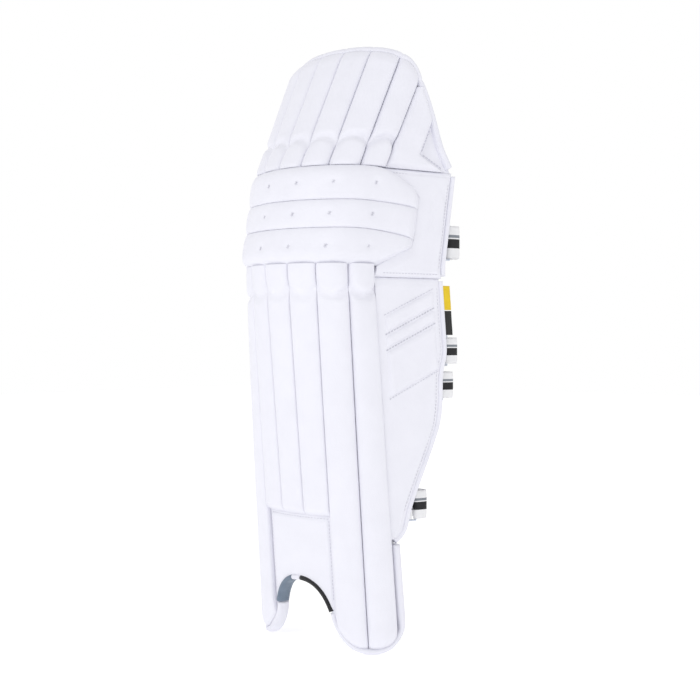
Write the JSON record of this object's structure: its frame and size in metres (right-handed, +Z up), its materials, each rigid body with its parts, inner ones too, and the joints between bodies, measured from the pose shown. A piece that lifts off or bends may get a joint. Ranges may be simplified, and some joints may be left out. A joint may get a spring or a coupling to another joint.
{
  "type": "cricket leg pad",
  "caption": "Cricket batting leg pad with padded shin canes, horizontal knee rolls, a leaning top hat, an outer calf wing, side bolsters and straps that close on rings.",
  "frame": {"origin": "on the ground under the middle of the pad's bounding box, with the pad standing on its two toes", "axes": "+Z up along the shin, -Y out of the padded front, +X towards the long outer wing"},
  "size_m": [0.2342, 0.2128, 0.7272],
  "materials": {
    "face_leather": "smooth coated white leather with a fine grain",
    "trim_leather": "white edging of the same leather",
    "lining": "pale grey brushed cotton lining",
    "backing": "white felt-faced board",
    "webbing": "woven white webbing with grey and black stripes",
    "ring_metal": "bright wire",
    "binding_blue": "grey-blue binding tape",
    "binding_black": "black binding tape",
    "tag_yellow": "woven yellow tag",
    "tag_black": "woven black tag"
  },
  "bodies": {
    "shin": {"ankle_ring": "ring_metal", "ankle_ring_tab": "webbing", "ankle_strap_band": "webbing", "arch_binding_black": "binding_black", "arch_binding_blue": "binding_blue", "arch_binding_white": "trim_leather", "inner_bolster": "lining", "inner_wing": "face_leather", "instep_panel": "face_leather", "knee_cushion_lower": "lining", "knee_cushion_upper": "lining", "knee_ring": "ring_metal", "knee_ring_tab": "webbing", "knee_roll_lower": "face_leather", "knee_roll_middle": "face_leather", "knee_roll_upper": "face_leather", "knee_strap_band": "webbing", "knee_wing": "face_leather", "knee_wing_piping": "trim_leather", "lower_calf_ring": "ring_metal", "lower_calf_ring_tab": "webbing", "lower_calf_strap_band": "webbing", "outer_bolster": "lining", "shin_backing": "backing", "shin_cane_1": "face_leather", "shin_cane_2": "face_leather", "shin_cane_3": "face_leather", "shin_cane_4": "face_leather", "shin_cane_5": "face_leather", "shin_cane_6": "face_leather", "shin_cane_7": "face_leather", "shin_liner": "lining", "toe_trim_inner": "trim_leather", "toe_trim_outer": "trim_leather", "upper_calf_ring": "ring_metal", "upper_calf_ring_tab": "webbing", "upper_calf_strap_band": "webbing"},
    "top_hat": {"top_hat_backing": "backing", "top_hat_binding": "trim_leather", "top_hat_cane_1": "face_leather", "top_hat_cane_2": "face_leather", "top_hat_cane_3": "face_leather", "top_hat_cane_4": "face_leather", "top_hat_cane_5": "face_leather", "top_hat_cane_6": "face_leather", "top_hat_cane_7": "face_leather", "top_hat_side_panel": "face_leather"},
    "outer_wing": {"calf_wing": "face_leather", "calf_wing_piping": "trim_leather", "edge_tag_black": "tag_black", "edge_tag_yellow": "tag_yellow", "wing_strip_1": "face_leather", "wing_strip_2": "face_leather", "wing_strip_3": "face_leather"},
    "knee_tail": {"knee_strap_tail": "webbing"},
    "upper_calf_tail": {"upper_calf_strap_tail": "webbing"},
    "lower_calf_tail": {"lower_calf_strap_tail": "webbing"},
    "ankle_tail": {"ankle_strap_tail": "webbing"}
  },
  "joints": [
    {"name": "top_hat_fold", "type": "hinge", "parent": "shin", "child": "top_hat", "pos_m": [-0.00459, -0.05119, 0.574], "axis": [-1, 0, 0], "range_deg": [-4, 10], "stiffness_Nm_per_rad": 6},
    {"name": "outer_wing_flex", "type": "hinge", "parent": "shin", "child": "outer_wing", "pos_m": [0.0915, -0.00782, 0.132], "axis": [0.0354, 0.0579, -0.9977], "range_deg": [0, 35], "stiffness_Nm_per_rad": 0.5},
    {"name": "knee_tail_peel", "type": "hinge", "parent": "shin", "child": "knee_tail", "pos_m": [0.10578, 0.08855, 0.49], "axis": [0, 0, -1], "range_deg": [0, 90], "stiffness_Nm_per_rad": 0.02},
    {"name": "upper_calf_tail_peel", "type": "hinge", "parent": "shin", "child": "upper_calf_tail", "pos_m": [0.10849, 0.08045, 0.357], "axis": [0, 0, -1], "range_deg": [0, 90], "stiffness_Nm_per_rad": 0.02},
    {"name": "lower_calf_tail_peel", "type": "hinge", "parent": "shin", "child": "lower_calf_tail", "pos_m": [0.10747, 0.07361, 0.315], "axis": [0, 0, -1], "range_deg": [0, 90], "stiffness_Nm_per_rad": 0.02},
    {"name": "ankle_tail_peel", "type": "hinge", "parent": "shin", "child": "ankle_tail", "pos_m": [0.09803, 0.03405, 0.172], "axis": [0, 0, -1], "range_deg": [0, 80], "stiffness_Nm_per_rad": 0.02}
  ]
}
